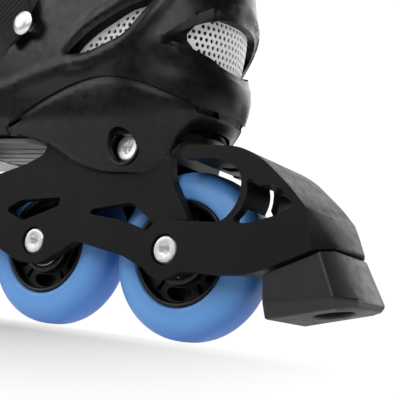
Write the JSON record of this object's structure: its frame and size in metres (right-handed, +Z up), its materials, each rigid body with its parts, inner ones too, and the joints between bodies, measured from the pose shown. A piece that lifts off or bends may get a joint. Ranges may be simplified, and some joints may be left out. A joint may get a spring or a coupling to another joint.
{
  "type": "inline skate",
  "caption": "Adjustable inline skate for the right foot: hard boot with hinged cuff and liner on a moulded frame, wheels in a line, heel brake.",
  "frame": {"origin": "middle of the skate's footprint, on the surface that its wheels stand on", "axes": "+X towards the heel and the brake, +Y towards the outer side of the foot, +Z up"},
  "size_m": [0.3658, 0.1075, 0.2844],
  "materials": {
    "tyre": "smooth cast polyurethane, blue",
    "hub": "moulded nylon, black, satin",
    "frame": "fine textured moulding, black",
    "shell": "satin moulding, black",
    "rack": "satin moulding, grey",
    "mesh": "perforated light grey panel",
    "rubber": "matt, dark grey",
    "steel": "zinc plated",
    "bright": "bright plated, satin",
    "fabric": "woven knit over foam, black",
    "insole": "brushed cloth over foam",
    "webbing": "ribbed woven webbing, black",
    "strap": "flexible moulding with ratchet ribs",
    "buckle": "satin moulding, black",
    "lace": "braided, black"
  },
  "bodies": {
    "root": {"frame": "frame", "heel_base": "shell", "boot_shell": "shell", "spacer_1": "steel", "axle_bolt_1": "bright", "axle_nut_1": "bright", "spacer_2": "steel", "axle_bolt_2": "bright", "axle_nut_2": "bright", "spacer_3": "steel", "axle_bolt_3": "bright", "axle_nut_3": "bright", "spacer_4": "steel", "axle_bolt_4": "bright", "axle_nut_4": "bright", "rear_mesh": "mesh", "inner_mesh": "mesh", "outer_mesh": "mesh", "cuff_rivet_inner": "bright", "cuff_rivet_outer": "bright", "instep_strap": "webbing", "instep_rivet_inner": "bright", "instep_rivet_outer": "bright", "liner": "fabric", "tongue": "fabric", "insole": "insole", "laces": "lace", "brake_housing": "frame", "brake_pad": "rubber", "brake_bolt": "steel", "brake_nut": "steel", "heel_bolt": "bright", "heel_nut": "bright", "toe_bolt": "steel", "toe_nut": "steel"},
    "wheel_1": {"wheel_1_tyre": "tyre", "wheel_1_hub": "hub", "wheel_1_bearing_inner": "steel", "wheel_1_bearing_outer": "steel"},
    "wheel_2": {"wheel_2_tyre": "tyre", "wheel_2_hub": "hub", "wheel_2_bearing_inner": "steel", "wheel_2_bearing_outer": "steel"},
    "wheel_3": {"wheel_3_tyre": "tyre", "wheel_3_hub": "hub", "wheel_3_bearing_inner": "steel", "wheel_3_bearing_outer": "steel"},
    "wheel_4": {"wheel_4_tyre": "tyre", "wheel_4_hub": "hub", "wheel_4_bearing_inner": "steel", "wheel_4_bearing_outer": "steel"},
    "toe": {"toe_shell": "shell", "size_rack": "rack"},
    "size_button": {"size_button": "rack"},
    "cuff": {"cuff": "shell", "collar": "fabric", "cuff_strap": "strap", "buckle_base": "buckle", "buckle_pin": "bright"},
    "buckle_lever": {"buckle_lever": "buckle"}
  },
  "joints": [
    {"name": "wheel_1_spin", "type": "hinge", "parent": "root", "child": "wheel_1", "pos_m": [-0.1454, -0.0046, 0.038], "axis": [0, 1, 0], "continuous": true},
    {"name": "wheel_2_spin", "type": "hinge", "parent": "root", "child": "wheel_2", "pos_m": [-0.0654, -0.0046, 0.038], "axis": [0, 1, 0], "continuous": true},
    {"name": "wheel_3_spin", "type": "hinge", "parent": "root", "child": "wheel_3", "pos_m": [0.0146, -0.0046, 0.038], "axis": [0, 1, 0], "continuous": true},
    {"name": "wheel_4_spin", "type": "hinge", "parent": "root", "child": "wheel_4", "pos_m": [0.0946, -0.0046, 0.038], "axis": [0, 1, 0], "continuous": true},
    {"name": "toe_slide", "type": "slide", "parent": "root", "child": "toe", "axis": [-1, 0, 0], "range_m": [0, 0.024]},
    {"name": "size_button_press", "type": "slide", "parent": "root", "child": "size_button", "axis": [0, -1, 0], "range_m": [0, 0.003], "stiffness_N_per_m": 400},
    {"name": "cuff_flex", "type": "hinge", "parent": "root", "child": "cuff", "pos_m": [0.0366, -0.0046, 0.172], "axis": [0, -1, 0], "range_deg": [-2, 8], "stiffness_Nm_per_rad": 6},
    {"name": "buckle_lever_swing", "type": "hinge", "parent": "cuff", "child": "buckle_lever", "pos_m": [0.0296, 0.049, 0.233], "axis": [0, 0, -1], "range_deg": [0, 110]}
  ]
}
